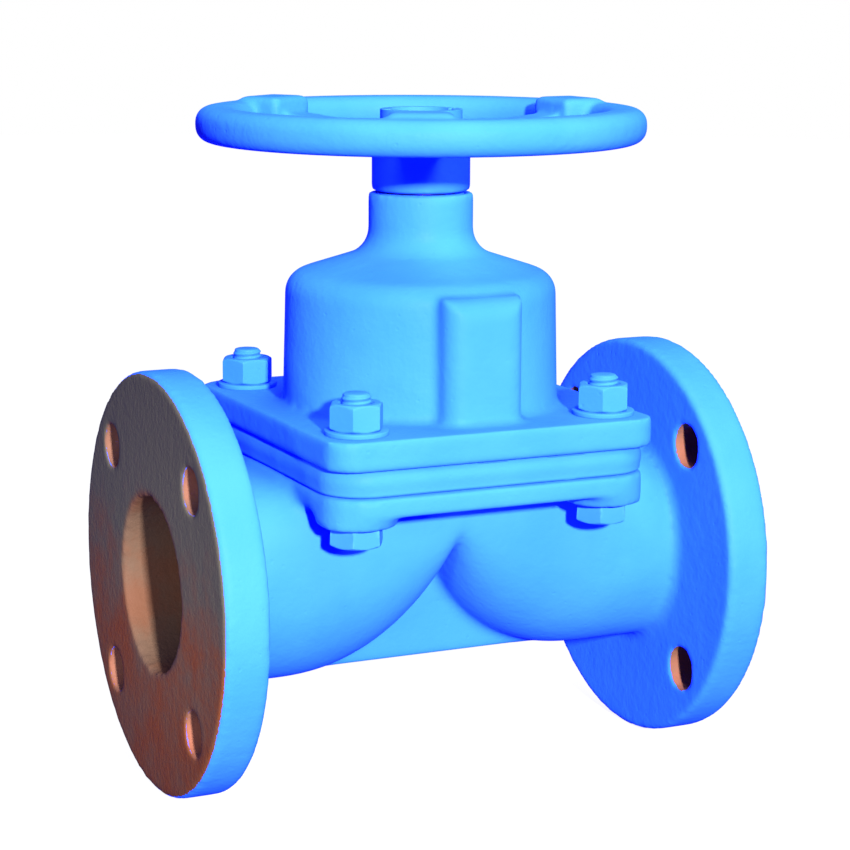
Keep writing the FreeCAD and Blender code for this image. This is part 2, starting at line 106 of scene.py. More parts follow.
# ---- settings a user would change ---------------------------------------------------------------
class VALVE_PG_paint(bpy.types.PropertyGroup):
    """Colours and texture sizes of the finishes."""
    paint: bpy.props.FloatVectorProperty(
        name="Paint", description="Colour of the sprayed enamel", subtype="COLOR", size=3,
        min=0, max=1, default=(0.02, 0.118, 1.0))
    paint_thin: bpy.props.FloatVectorProperty(
        name="Thin paint", description="Colour where the enamel is thin or scuffed", subtype="COLOR", size=3,
        min=0, max=1, default=(0.03, 0.15, 1.0))
    # Darker blue for hollows and creases: painted shade.
    paint_hollow_shade: bpy.props.FloatVectorProperty(
        name="Pooled paint", description="Colour where the enamel gathers in hollows",
        subtype="COLOR", size=3, min=0, max=1, default=(0.012, 0.07, 0.9))
    primer: bpy.props.FloatVectorProperty(
        name="Primer", description="Red-brown primer on the machined faces", subtype="COLOR", size=3,
        min=0, max=1, default=(0.115, 0.032, 0.01))
    primer_dark: bpy.props.FloatVectorProperty(
        name="Stained primer", description="Darker stain on the machined faces", subtype="COLOR", size=3,
        min=0, max=1, default=(0.06, 0.055, 0.04))
    bore: bpy.props.FloatVectorProperty(
        name="Bore primer", description="Primer inside the bore", subtype="COLOR", size=3,
        min=0, max=1, default=(0.085, 0.036, 0.02))
    hole: bpy.props.FloatVectorProperty(
        name="Hole primer", description="Primer inside the bolt holes", subtype="COLOR", size=3,
        min=0, max=1, default=(0.17, 0.06, 0.035))
    peel_size: bpy.props.FloatProperty(
        name="Orange peel size", description="Distance between the enamel's ripples", unit="LENGTH",
        min=0.0005, max=0.01, default=0.0024)
    sand_size: bpy.props.FloatProperty(
        name="Sand grain size", description="Distance between the casting's bumps", unit="LENGTH",
        min=0.001, max=0.03, default=0.0075)


class VALVE_PG_casting(bpy.types.PropertyGroup):
    """How the castings are rounded."""
    cell: bpy.props.FloatProperty(
        name="Surface cell", description="Edge length of the castings' surface cells", unit="LENGTH",
        min=0.001, max=0.01, default=0.0018)
    fillet: bpy.props.FloatProperty(
        name="Fillet", description="Radius that the castings' tighter inside corners are filled to",
        unit="LENGTH", min=0.001, max=0.03, default=0.0042)
    hollow_passes: bpy.props.IntProperty(
        name="Fillet passes", description="Passes that fill the castings' inside corners",
        min=0, max=400, default=90)
    edge_passes: bpy.props.IntProperty(
        name="Edge passes", description="Passes that round the castings' outside edges",
        min=0, max=50, default=3)


class VALVE_PG_fasteners(bpy.types.PropertyGroup):
    """Sizes of the bonnet bolting and of the screw threads."""
    across_flats: bpy.props.FloatProperty(
        name="Across flats", description="Width of the hexagons", unit="LENGTH", default=0.0208)
    bolt_radius: bpy.props.FloatProperty(
        name="Bolt radius", description="Radius over the bolt's thread", unit="LENGTH", default=0.00635)
    bolt_pitch: bpy.props.FloatProperty(
        name="Bolt pitch", description="Pitch of the bolt's thread", unit="LENGTH", default=0.0021)
    thread_depth: bpy.props.FloatProperty(
        name="Thread depth", description="Depth left of the bolt's thread under the paint",
        unit="LENGTH", default=0.0006)
    spindle_pitch: bpy.props.FloatProperty(
        name="Spindle lead", description="Rise of the spindle's thread in one turn",
        unit="LENGTH", default=0.005)


class VALVE_PG_stage(bpy.types.PropertyGroup):
    """Camera, lights and floor."""
    camera_place: bpy.props.FloatVectorProperty(
        name="Camera", description="Camera's place from the crossing of the flow and spindle axes",
        subtype="TRANSLATION", unit="LENGTH", size=3, default=(-0.4462, -0.9611, 0.2639))
    camera_yaw: bpy.props.FloatProperty(
        name="Camera yaw", description="Turn of the view to the right",
        subtype="ANGLE", default=math.radians(25.03))
    camera_pitch: bpy.props.FloatProperty(
        name="Camera pitch", description="Tilt of the view below the horizon", subtype="ANGLE",
        default=math.radians(10.88))
    camera_roll: bpy.props.FloatProperty(
        name="Camera roll", description="Roll of the view", subtype="ANGLE", default=math.radians(-0.3))
    lens: bpy.props.FloatProperty(
        name="Lens", description="Focal length on a 36 mm sensor", unit="CAMERA", default=102.36)
    key_power: bpy.props.FloatProperty(
        name="Key light", description="Power of the front softbox", unit="POWER", default=272.0)
    top_power: bpy.props.FloatProperty(
        name="Top light", description="Power of the overhead softbox", unit="POWER", default=75.0)
    card_power: bpy.props.FloatProperty(
        name="Card light", description="Power of the small card that lights the inlet face",
        unit="POWER", default=0.13)
    fill: bpy.props.FloatVectorProperty(
        name="Fill", description="Colour of the weak light from all around", subtype="COLOR", size=3,
        min=0, max=1, default=(0.05, 0.03, 0.7))


SETTINGS = (
    ("valve_paint", VALVE_PG_paint),
    ("valve_casting", VALVE_PG_casting),
    ("valve_fasteners", VALVE_PG_fasteners),
    ("valve_stage", VALVE_PG_stage),
)


# ---- meshes -------------------------------------------------------------------------------------
def link(name, mesh, material, smooth_angle=35):
    """New object for a mesh, shaded smooth up to an angle."""
    mesh.polygons.foreach_set("use_smooth", np.ones(len(mesh.polygons), bool))
    mesh.set_sharp_from_angle(angle=math.radians(smooth_angle))
    mesh.materials.clear()
    mesh.materials.append(material)
    piece = bpy.data.objects.new(name, mesh)
    bpy.context.scene.collection.objects.link(piece)
    return piece


def grid_surface(name, points, loop_rows=False):
    """Mesh over points[row, column], closed round the axis. Rows close on themselves, or end in poles."""
    rows, columns = points.shape[:2]
    index = np.arange(rows * columns).reshape(rows, columns)
    last = rows if loop_rows else rows - 1
    lower, upper = index[:last], np.roll(index, -1, 0)[:last]
    faces = np.stack([lower, np.roll(lower, -1, 1), np.roll(upper, -1, 1), upper], -1).reshape(-1, 4).tolist()
    vertices = points.reshape(-1, 3)
    if not loop_rows:
        poles = np.array([points[0].mean(0), points[-1].mean(0)])
        vertices = np.concatenate([vertices, poles])
        bottom, top = rows * columns, rows * columns + 1
        first, final = index[0], index[-1]
        faces += np.stack([np.roll(first, -1), first, np.full(columns, bottom)], -1).tolist()
        faces += np.stack([final, np.roll(final, -1), np.full(columns, top)], -1).tolist()
    mesh = bpy.data.meshes.new(name)
    mesh.from_pydata(vertices.tolist(), [], faces)
    return mesh


def polar(radius, height, angle, centre):
    """Points from radius[row, column] and height[row, column] round an upright axis."""
    return np.stack([centre[0] + radius * np.cos(angle), centre[1] + radius * np.sin(angle), height], -1)


def merged_copy(node):
    """Copy of a node's mesh with its loose triangles joined."""
    source = frame["nodes"][node].data
    work = bmesh.new()
    work.from_mesh(source)
    bmesh.ops.remove_doubles(work, verts=work.verts, dist=2e-6)
    mesh = bpy.data.meshes.new(node + "_merged")
    work.to_mesh(mesh)
    work.free()
    return mesh


def applied(mesh, kind, **values):
    """The mesh after one modifier."""
    holder = bpy.data.objects.new("holder", mesh)
    bpy.context.scene.collection.objects.link(holder)
    modifier = holder.modifiers.new("step", kind)
    for key, value in values.items():
        setattr(modifier, key, value)
    result = bpy.data.meshes.new_from_object(holder.evaluated_get(bpy.context.evaluated_depsgraph_get()))
    bpy.data.objects.remove(holder)
    bpy.data.meshes.remove(mesh)
    return result


def positions(mesh):
    """Vertex positions as an array."""
    flat = np.empty(len(mesh.vertices) * 3)
    mesh.vertices.foreach_get("co", flat)
    return flat.reshape(-1, 3)


def set_positions(mesh, points):
    """Write vertex positions back."""
    mesh.vertices.foreach_set("co", points.ravel())
    mesh.update()


class Neighbours:
    """Averages over each vertex's neighbours, and normals, for a mesh whose shape changes."""

    def __init__(self, mesh):
        self.count = len(mesh.vertices)
        edges = np.empty(len(mesh.edges) * 2, np.int64)
        mesh.edges.foreach_get("vertices", edges)
        self.first, self.second = edges.reshape(-1, 2).T
        self.degree = np.bincount(edges, minlength=self.count)[:, None]
        mesh.calc_loop_triangles()
        corners = np.empty(len(mesh.loop_triangles) * 3, np.int64)
        mesh.loop_triangles.foreach_get("vertices", corners)
        self.triangles = corners.reshape(-1, 3)

    def scatter(self, where, values):
        """Sum of three-column values on the vertices they belong to."""
        return np.stack([np.bincount(where, values[:, axis], self.count) for axis in range(3)], 1)

    def mean(self, points):
        """Mean place of each vertex's neighbours."""
        total = self.scatter(self.first, points[self.second]) + self.scatter(self.second, points[self.first])
        return total / self.degree

    def normals(self, points):
        """Unit normals from the areas of the faces around each vertex."""
        a, b, c = (points[self.triangles[:, k]] for k in range(3))
        areas = np.cross(b - a, c - a)
        total = sum(self.scatter(self.triangles[:, k], areas) for k in range(3))
        return total / np.maximum(np.linalg.norm(total, axis=1, keepdims=True), 1e-20)


def cast_mesh(node, fineness, cast):
    """A node's shape as a casting: even cells, inside corners filled to a fillet, outside edges eased.

    Four neighbours a cell away lie cell^2 / (4 radius) above a vertex in a hollow of that radius. So each
    pass moves a vertex outwards by its share of the height above that, and hollows of the fillet's radius or
    more stay. The last passes move it half way to its neighbours' mean, in and out, which eases sharp edges.
    """
    cell = cast.cell * fineness
    mesh = applied(merged_copy(node), "REMESH", mode="VOXEL", voxel_size=cell)
    allowed = cell ** 2 / (4 * cast.fillet)
    around = Neighbours(mesh)
    points = positions(mesh)
    for _ in range(cast.hollow_passes):
        normal = around.normals(points)
        rise = ((around.mean(points) - points) * normal).sum(1, keepdims=True)
        points = points + 0.6 * normal * np.clip(rise - allowed, 0, None)
    for _ in range(cast.edge_passes):
        points = points + 0.5 * (around.mean(points) - points)
    set_positions(mesh, points)
    return mesh


def finish_piece(piece, body, slot, *nodes):
    """Attaches a piece to the body it moves with and hides the nodes it stands for; its finish (slot) is not
    used.
    """
    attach(piece, body)
    if nodes:
        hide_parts(*nodes)
    return piece


# ---- shader helpers -----------------------------------------------------------------------------
def add(tree, kind, links=None, **values):
    """New node with its properties and inputs set, and its inputs linked."""
    node = tree.nodes.new(kind)
    for key, value in values.items():
        setattr(node, key, value)
    for key, value in (links or {}).items():
        if isinstance(value, bpy.types.NodeSocket):
            tree.links.new(value, node.inputs[key])
        else:
            node.inputs[key].default_value = value
    return node


def maths(tree, operation, first, second=0.0, clamp=False):
    """Output of a Math node."""
    return add(tree, "ShaderNodeMath", {0: first, 1: second}, operation=operation, use_clamp=clamp).outputs[0]


def mixed(tree, factor, first, second):
    """Output of a colour mix."""
    node = add(tree, "ShaderNodeMix", data_type="RGBA")
    for key, value in ((0, factor), (6, first), (7, second)):
        if isinstance(value, bpy.types.NodeSocket):
            tree.links.new(value, node.inputs[key])
        elif key == 0:
            node.inputs[0].default_value = value
        else:
            node.inputs[key].default_value = (*value, 1)
    return node.outputs[2]


def noise(tree, vector, scale, detail=2.0, roughness=0.5):
    """Factor of a noise texture."""
    links = {"Vector": vector, "Scale": scale, "Detail": detail, "Roughness": roughness}
    return add(tree, "ShaderNodeTexNoise", links).outputs[0]


def stretched(tree, value, low, high):
    """Value mapped from low..high to 0..1."""
    links = {0: value, 1: low, 2: high, 3: 0.0, 4: 1.0}
    return add(tree, "ShaderNodeMapRange", links, clamp=True, interpolation_type="SMOOTHSTEP").outputs[0]


def new_group(name, inputs, outputs):
    """Empty shader node group with named sockets."""
    group = bpy.data.node_groups.new(name, "ShaderNodeTree")
    for label, kind, default in inputs:
        socket = group.interface.new_socket(label, in_out="INPUT", socket_type=kind)
        if default is not None:
            socket.default_value = default
    for label, kind in outputs:
        group.interface.new_socket(label, in_out="OUTPUT", socket_type=kind)
    return group, group.nodes.new("NodeGroupInput").outputs, group.nodes.new("NodeGroupOutput").inputs


def sprayed_skin_group():
    """Heights of a sprayed casting: enamel ripples, sand grain beneath, a few pits and specks."""
    group, given, out = new_group(
        "Sprayed skin",
        (("Vector", "NodeSocketVector", None), ("Peel scale", "NodeSocketFloat", 400.0),
         ("Sand scale", "NodeSocketFloat", 130.0), ("Sand", "NodeSocketFloat", 1.0)),
        (("Height", "NodeSocketFloat"), ("Pits", "NodeSocketFloat")))
    peel = noise(group, given["Vector"], given["Peel scale"], 1.5)
    sand = noise(group, given["Vector"], given["Sand scale"], 4.0, 0.6)
    cells = add(group, "ShaderNodeTexVoronoi", {"Vector": given["Vector"], "Scale": given["Sand scale"]})
    pits = maths(group, "SUBTRACT", 1.0, stretched(group, cells.outputs["Distance"], 0.03, 0.13))
    sand_height = maths(group, "MULTIPLY", sand, given["Sand"])
    height = maths(group, "ADD", maths(group, "MULTIPLY", peel, 0.35), sand_height)
    height = maths(group, "SUBTRACT", height, maths(group, "MULTIPLY", pits, 0.3))
    group.links.new(height, out["Height"])
    group.links.new(pits, out["Pits"])
    return group


def weathering_group():
    """Masks of a painted casting: painted shade in hollows, scuffs and a painted highlight on high edges,
    slow tone drift.
    """
    group, given, out = new_group(
        "Paint masks",
        (("Vector", "NodeSocketVector", None), ("Scale", "NodeSocketFloat", 22.0)),
        (("Hollow shade", "NodeSocketFloat"), ("Scuffs and highlight", "NodeSocketFloat"), ("Drift", "NodeSocketFloat")))
    shape = add(group, "ShaderNodeNewGeometry").outputs["Pointiness"]
    drift = noise(group, given["Vector"], given["Scale"], 3.0, 0.55)
    grain = noise(group, given["Vector"], 260.0, 3.0, 0.6)
    # Hollows, found from the pointiness, get painted shade.
    hollow = stretched(group, shape, 0.5, 0.44)
    # High edges: scuffs, and a painted highlight in the lighter blue.
    edge = stretched(group, shape, 0.53, 0.6)
    scuffed = maths(group, "MULTIPLY", edge, stretched(group, grain, 0.42, 0.62))
    group.links.new(hollow, out["Hollow shade"])
    group.links.new(scuffed, out["Scuffs and highlight"])
    group.links.new(stretched(group, drift, 0.3, 0.7), out["Drift"])
    return group


def shared(name, maker):
    """The node group of this name, made once."""
    return bpy.data.node_groups.get(name) or maker()


def placed(tree, group, **links):
    """A group placed in a material."""
    node = tree.nodes.new("ShaderNodeGroup")
    node.node_tree = group
    for key, value in links.items():
        label = key.replace("_", " ")
        if isinstance(value, bpy.types.NodeSocket):
            tree.links.new(value, node.inputs[label])
        else:
            node.inputs[label].default_value = value
    return node.outputs


def new_material(name, **shader_values):
    """Material with a Principled shader whose even values are set on its sockets."""
    material = bpy.data.materials.new(name)
    material.use_nodes = True
    tree = material.node_tree
    shader = tree.nodes["Principled BSDF"]
    for label, value in shader_values.items():
        shader.inputs[label.replace("_", " ")].default_value = value
    coordinates = add(tree, "ShaderNodeTexCoord").outputs["Object"]
    return material, tree, shader, coordinates


def bump(tree, shader, height, distance, strength=1.0):
    """Bump from a height on the shader's normal."""
    links = {"Height": height, "Distance": distance, "Strength": strength}
    tree.links.new(add(tree, "ShaderNodeBump", links).outputs[0], shader.inputs["Normal"])


def paint_layers(tree, coordinates, paint, sand):
    """Colour, roughness and height of the sprayed enamel over iron or steel."""
    skin = placed(tree, shared("Sprayed skin", sprayed_skin_group), Vector=coordinates,
                  Peel_scale=1 / paint.peel_size, Sand_scale=1 / paint.sand_size, Sand=sand)
    masks = placed(tree, shared("Paint masks", weathering_group), Vector=coordinates)
    colour = mixed(tree, maths(tree, "MULTIPLY", masks["Drift"], 0.35), paint.paint, paint.paint_thin)
    # Painted shade: hollows darkened towards the deeper blue.
    colour = mixed(tree, maths(tree, "MULTIPLY", masks["Hollow shade"], 0.8), colour, paint.paint_hollow_shade)
    # High edges lighter: scuffs with a painted highlight.
    colour = mixed(tree, maths(tree, "MULTIPLY", masks["Scuffs and highlight"], 0.5), colour, (0.05, 0.2, 0.9))
    rough = maths(tree, "ADD", 0.48, maths(tree, "MULTIPLY", masks["Drift"], 0.12))
    rough = maths(tree, "ADD", rough, maths(tree, "MULTIPLY", masks["Scuffs and highlight"], 0.25))
    return colour, rough, skin["Height"]


PAINT_SHEEN = 0.03
SKIN_HEIGHT = 0.3 * MM
PALE_FLECK = (0.1, 0.06, 0.05)


def painted_material(name, sand=1.0):
    """Dull sprayed enamel."""
    paint = bpy.context.scene.valve_paint
    material, tree, shader, coordinates = new_material(name, Specular_IOR_Level=PAINT_SHEEN)
    colour, rough, height = paint_layers(tree, coordinates, paint, sand)
    tree.links.new(colour, shader.inputs["Base Color"])
    tree.links.new(rough, shader.inputs["Roughness"])
    bump(tree, shader, height, SKIN_HEIGHT)
    return material


def body_material():
    """Enamel outside, red-brown primer on the end faces, in the bore and on the bolt holes' walls."""
    paint = bpy.context.scene.valve_paint
    name = "body_paint_and_primer"
    material, tree, shader, coordinates = new_material(name, Specular_IOR_Level=PAINT_SHEEN)
    colour, rough, height = paint_layers(tree, coordinates, paint, 1.0)
    faced = add(tree, "ShaderNodeAttribute", attribute_name="faced").outputs["Fac"]
    bored = add(tree, "ShaderNodeAttribute", attribute_name="bored").outputs["Fac"]
    holed = add(tree, "ShaderNodeAttribute", attribute_name="holed").outputs["Fac"]
    blotch = noise(tree, coordinates, 38.0, 6.0, 0.65)
    speckle = noise(tree, coordinates, 420.0, 4.0, 0.7)
    height_up = add(tree, "ShaderNodeSeparateXYZ", {0: coordinates}).outputs[2]
    stain = maths(tree, "ADD", stretched(tree, height_up, -0.08, 0.07), maths(tree, "SUBTRACT", blotch, 0.5))
    primer = mixed(tree, stretched(tree, stain, 0.1, 0.9), paint.primer, paint.primer_dark)
    flecks = maths(tree, "MULTIPLY", stretched(tree, speckle, 0.5, 0.75), 0.3)
    primer = mixed(tree, flecks, primer, PALE_FLECK)
    bare = mixed(tree, bored, mixed(tree, holed, primer, paint.hole), paint.bore)
    stains = maths(tree, "MULTIPLY", stretched(tree, blotch, 0.35, 0.65), 0.4)
    bare = mixed(tree, stains, bare, paint.primer_dark)
    cleaned = maths(tree, "MAXIMUM", faced, maths(tree, "MAXIMUM", bored, holed))
    edge = maths(tree, "ADD", cleaned, maths(tree, "MULTIPLY", maths(tree, "SUBTRACT", speckle, 0.5), 0.5))
    mask = stretched(tree, edge, 0.42, 0.58)
    tree.links.new(mixed(tree, mask, colour, bare), shader.inputs["Base Color"])
    dull = maths(tree, "ADD", 0.5, maths(tree, "MULTIPLY", blotch, 0.25))
    roughness = add(tree, "ShaderNodeMix", {0: mask, 2: rough, 3: dull}).outputs[0]
    tree.links.new(roughness, shader.inputs["Roughness"])
    grit = maths(tree, "MULTIPLY", maths(tree, "MULTIPLY", speckle, mask), 0.6)
    bump(tree, shader, maths(tree, "ADD", height, grit), SKIN_HEIGHT)
    return material


def turned_material(name, colour, dark, roughness):
    """Turned metal with fine rings round the spindle axis and a slightly uneven tone."""
    material, tree, shader, coordinates = new_material(name, Metallic=1.0)
    place = add(tree, "ShaderNodeMapping", {0: coordinates, 1: (-SPINDLE_X, 0, 0)}).outputs[0]
    links = {"Vector": place, "Scale": 900.0, "Distortion": 1.5, "Detail": 2.0}
    waves = add(tree, "ShaderNodeTexWave", links, wave_type="BANDS", bands_direction="Z")
    rings = waves.outputs["Fac"]
    tone = noise(tree, coordinates, 60.0, 4.0, 0.6)
    tree.links.new(mixed(tree, stretched(tree, tone, 0.35, 0.7), colour, dark), shader.inputs["Base Color"])
    rough = maths(tree, "ADD", roughness, maths(tree, "MULTIPLY", rings, 0.12))
    tree.links.new(rough, shader.inputs["Roughness"])
    bump(tree, shader, rings, 0.00002)
    return material


def rubber_material(name, colour, dusty):
    """Moulded rubber with a fine grain and a dusty bloom."""
    material, tree, shader, coordinates = new_material(name, Metallic=0.0)
    grain = noise(tree, coordinates, 900.0, 3.0, 0.6)
    bloom = noise(tree, coordinates, 45.0, 4.0, 0.6)
    tree.links.new(mixed(tree, stretched(tree, bloom, 0.4, 0.75), colour, dusty), shader.inputs["Base Color"])
    tree.links.new(maths(tree, "ADD", 0.5, maths(tree, "MULTIPLY", bloom, 0.25)), shader.inputs["Roughness"])
    bump(tree, shader, grain, 0.0001)
    return material


def raw_iron_material():
    """Unpainted sand-cast iron."""
    material, tree, shader, coordinates = new_material("raw_iron", Metallic=0.8)
    sand = noise(tree, coordinates, 240.0, 5.0, 0.65)
    rust = stretched(tree, noise(tree, coordinates, 35.0, 5.0, 0.6), 0.5, 0.7)
    tree.links.new(mixed(tree, rust, (0.12, 0.115, 0.11), (0.14, 0.06, 0.03)), shader.inputs["Base Color"])
    tree.links.new(maths(tree, "ADD", 0.5, maths(tree, "MULTIPLY", rust, 0.3)), shader.inputs["Roughness"])
    bump(tree, shader, sand, 0.0006)
    return material


# ---- castings -----------------------------------------------------------------------------------
PASSAGE_RADIUS = 37.6 * MM
BULB_X = 70 * MM
BULB_RISE = 18 * MM
SPRING_RISE = 25 * MM
WALL = 8 * MM
FLANGE_THICKNESS = 20 * MM
FACED_DEPTH = (0.2 * MM, 1.2 * MM)
BORED_REACH = (1.03, 1.12)
HOLE_EDGE = (0.2 * MM, 0.9 * MM)
HOLE_END = (-0.4 * MM, 0.6 * MM)


def smooth_step(value, low, high):
    """0 below low, 1 above high, and a smooth rise between."""
    share = np.clip((value - low) / (high - low), 0, 1)
    return share * share * (3 - 2 * share)


def flange_hole_distance(points):
    """Distance of each point from the nearest flange bolt hole's axis."""
    pattern = next(m for m in frame["record"]["mounts"] if m["name"] == "inlet_flange")
    count = pattern["dims"]["count"]
    reach = pattern["dims"]["pcd_mm"] * MM / 2
    nearest = np.full(len(points), 1.0)
    for turn in (np.arange(count) + 0.5) * TURN / count:
        offset = np.hypot(points[:, 1] - reach * math.cos(turn), points[:, 2] - reach * math.sin(turn))
        nearest = np.minimum(nearest, offset)
    return nearest, pattern["dims"]["hole_r_mm"] * MM


def passage_reach(points):
    """How far each point is from the passage's centre line, as a share of the way to its wall.

    Each passage is round up to the bulb and then climbs along a quarter ellipse to the weir: at sine t of the
    climb its floor is at rise - (rise + radius) cos t and its widest line at spring sin t.
    """
    along = np.abs(points[:, 0] - SPINDLE_X)
    climb = np.clip((BULB_X - along) / (BULB_X - WALL), 0, 1)
    floor = BULB_RISE - (BULB_RISE + PASSAGE_RADIUS) * np.sqrt(1 - climb ** 2)
    spring = SPRING_RISE * climb
    below = np.minimum(points[:, 2] - spring, 0) / (spring - floor)
    above = np.maximum(points[:, 2] - spring, 0) / (PASSAGE_RADIUS - spring)
    return np.hypot(points[:, 1] / PASSAGE_RADIUS, below + above * (climb <= 0))


def mark_bare_faces(mesh):
    """Attributes on the body, 1 on the two end faces, in the passages and in the flanges' bolt holes."""
    points = positions(mesh)
    depth = np.minimum(points[:, 0] - BODY_LOW[0], BODY_HIGH[0] - points[:, 0])
    faced = 1 - smooth_step(depth, *FACED_DEPTH)
    bored = 1 - smooth_step(passage_reach(points), *BORED_REACH)
    nearest, hole_radius = flange_hole_distance(points)
    holed = 1 - smooth_step(nearest - hole_radius, *HOLE_EDGE)
    holed *= 1 - smooth_step(depth - FLANGE_THICKNESS, *HOLE_END)
    for label, values in (("faced", faced), ("bored", bored), ("holed", holed)):
        mesh.attributes.new(label, "FLOAT", "POINT").data.foreach_set("value", values.astype(np.float32))


class VALVE_OT_body(bpy.types.Operator):
    """Make the cast body with its fillets, painted outside and primed inside"""
    bl_idname = "valve.body"
    bl_label = "Body"

    def execute(self, context):
        mesh = cast_mesh("body", 1.0, context.scene.valve_casting)
        mark_bare_faces(mesh)
        piece = link("valve_body_casting", mesh, body_material(), 60)
        finish_piece(piece, FIXED, "cast_body_paint", "body")
        return {"FINISHED"}


class VALVE_OT_bonnet(bpy.types.Operator):
    """Make the cast bonnet with its filleted dome, lobes and neck"""
    bl_idname = "valve.bonnet"
    bl_label = "Bonnet"

    def execute(self, context):
        mesh = cast_mesh("bonnet", 0.8, context.scene.valve_casting)
        piece = link("bonnet_casting", mesh, painted_material("bonnet_paint"), 60)
        finish_piece(piece, FIXED, "cast_bonnet_paint", "bonnet")
        return {"FINISHED"}


class VALVE_OT_handwheel(bpy.types.Operator):
    """Make the cast handwheel with its filleted spokes and rim"""
    bl_idname = "valve.handwheel"
    bl_label = "Handwheel"

    def execute(self, context):
        mesh = cast_mesh("handwheel", 0.75, context.scene.valve_casting)
        piece = link("handwheel_casting", mesh, painted_material("wheel_paint"), 60)
        finish_piece(piece, TURNING, "cast_wheel_paint", "handwheel")
        return {"FINISHED"}


# ---- diaphragm ----------------------------------------------------------------------------------
CLAMPED_OPENING = (43.8 * MM, 36.8 * MM)
MEMBRANE_REACH = (49.8 * MM, 42.8 * MM)
MEMBRANE_THICKNESS = 6 * MM
MEMBRANE_TUCK = 1.0 * MM
EDGE_CORNER = 19 * MM
EDGE_ROUNDING = 2.2 * MM
EDGE_BULGE = 0.6 * MM
EDGE_WAVE = 0.25 * MM


def rounded_square_radius(angle, half_x, half_y, corner):
    """Distance from the centre to a rounded rectangle's outline along each angle."""
    across, up = np.abs(np.cos(angle)), np.abs(np.sin(angle))
    flat = np.minimum(half_x / np.maximum(across, 1e-9), half_y / np.maximum(up, 1e-9))
    centre_x, centre_y = half_x - corner, half_y - corner
    along = across * centre_x + up * centre_y
    off = along ** 2 - (centre_x ** 2 + centre_y ** 2 - corner ** 2)
    arc = along + np.sqrt(np.maximum(off, 0))
    in_corner = (flat * across > centre_x) & (flat * up > centre_y)
    return np.where(in_corner, arc, flat)


def diaphragm_edge_mesh(opening):
    """Clamped edge: a squeezed profile carried round a rounded rectangle.

    The outer wall bulges by a half sine between the two flanges, most near its top, and the profile closes
    on itself along the oval opening.
    """
    low, high = low_high("diaphragm")
    seat, top = SEAT_Z, float(high[2])
    half_x, half_y = (high - low)[:2] / 2
    columns = 360
    angle = np.arange(columns) * TURN / columns
    outline = rounded_square_radius(angle, half_x - EDGE_BULGE, half_y - EDGE_BULGE, EDGE_CORNER)
    inner = opening[0] * opening[1] / np.hypot(opening[1] * np.cos(angle), opening[0] * np.sin(angle))
    share = np.linspace(0, 1, 17)
    corner = EDGE_ROUNDING
    wall_height = seat + corner * 0.5 + (top - seat - corner * 1.5) * share
    bulge = EDGE_BULGE * np.sin(math.pi * share ** 1.6)
    rim = np.stack([outline + b for b in bulge])
    wave = EDGE_WAVE * np.sin(9 * angle) * np.cos(4 * angle + 1)
    halfway = outline * 0.7 + inner * 0.3
    rows_radius = [inner, halfway, outline - corner * 1.2, outline - corner * 0.3, *(rim + wave),
                   outline - corner * 0.25, outline - corner, halfway, inner]
    rows_height = [seat, seat, seat, seat + corner * 0.15, *wall_height,
                   top - corner * 0.35, top - corner * 0.05, top, top]
    radius = np.stack(rows_radius)
    height = np.stack([np.full(columns, h) for h in rows_height])
    return grid_surface("diaphragm_edge", polar(radius, height, angle, (SPINDLE_X, 0)), loop_rows=True)


def membrane_mesh(opening, depth):
    """Membrane: the lower half of an ellipsoid as one sheet, from the clamped edge down to the weir."""
    columns = 144
    angle = np.arange(columns) * TURN / columns
    fall = np.linspace(0, math.pi / 2, 28)[:, None]
    size_x = opening[0] * np.cos(fall)
    size_y = opening[1] * np.cos(fall)
    x = SPINDLE_X + size_x * np.cos(angle)
    y = size_y * np.sin(angle)
    z = SEAT_Z + MEMBRANE_TUCK - (depth + MEMBRANE_TUCK) * np.sin(fall) + 0 * angle
    points = np.stack([x, y, z], -1)[-2::-1]
    rows, count = points.shape[:2]
    index = np.arange(rows * count).reshape(rows, count)
    lower, upper = index[:-1], index[1:]
    faces = np.stack([np.roll(lower, -1, 1), np.roll(upper, -1, 1), upper, lower], -1).reshape(-1, 4).tolist()
    pole = rows * count
    faces += np.stack([np.roll(index[0], -1), index[0], np.full(count, pole)], -1).tolist()
    vertices = np.concatenate([points.reshape(-1, 3), [[SPINDLE_X, 0, SEAT_Z - depth]]])
    mesh = bpy.data.meshes.new("diaphragm_membrane")
    mesh.from_pydata(vertices.tolist(), [], faces)
    return mesh


class VALVE_OT_diaphragm(bpy.types.Operator):
    """Make the rubber diaphragm: its clamped painted edge and its membrane"""
    bl_idname = "valve.diaphragm"
    bl_label = "Diaphragm"

    def execute(self, context):
        material = painted_material("rubber_edge_paint", 0.5)
        edge = link("diaphragm_edge", diaphragm_edge_mesh(CLAMPED_OPENING), material, 50)
        finish_piece(edge, FIXED, "diaphragm_rubber", "diaphragm")
        depth = SEAT_Z - float(low_high("diaphragm")[0][2])
        rubber = rubber_material("diaphragm_rubber", (0.02, 0.02, 0.02), (0.06, 0.055, 0.05))
        membrane = link("diaphragm_membrane", membrane_mesh(MEMBRANE_REACH, depth), rubber, 60)
        wall = membrane.modifiers.new("wall", "SOLIDIFY")
        wall.thickness = MEMBRANE_THICKNESS
        wall.offset = -1.0
        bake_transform(membrane)
        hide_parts("diaphragm")
        return {"FINISHED"}


# ---- bolting ------------------------------------------------------------------------------------
HEAD_HEIGHT = 8.5 * MM
WASHER_BORE = 7.0 * MM
CHAMFER_DEPTHS = np.array([0, 0.2, 0.5, 0.9, 1.4, 2.0]) * MM
POINT_LENGTH = 1.5 * MM


def hexagon_radius(angle, across_flats):
    """Distance from the centre to a hexagon with a corner at angle 0."""
    return across_flats / 2 / np.cos(angle % (TURN / 6) - TURN / 12)


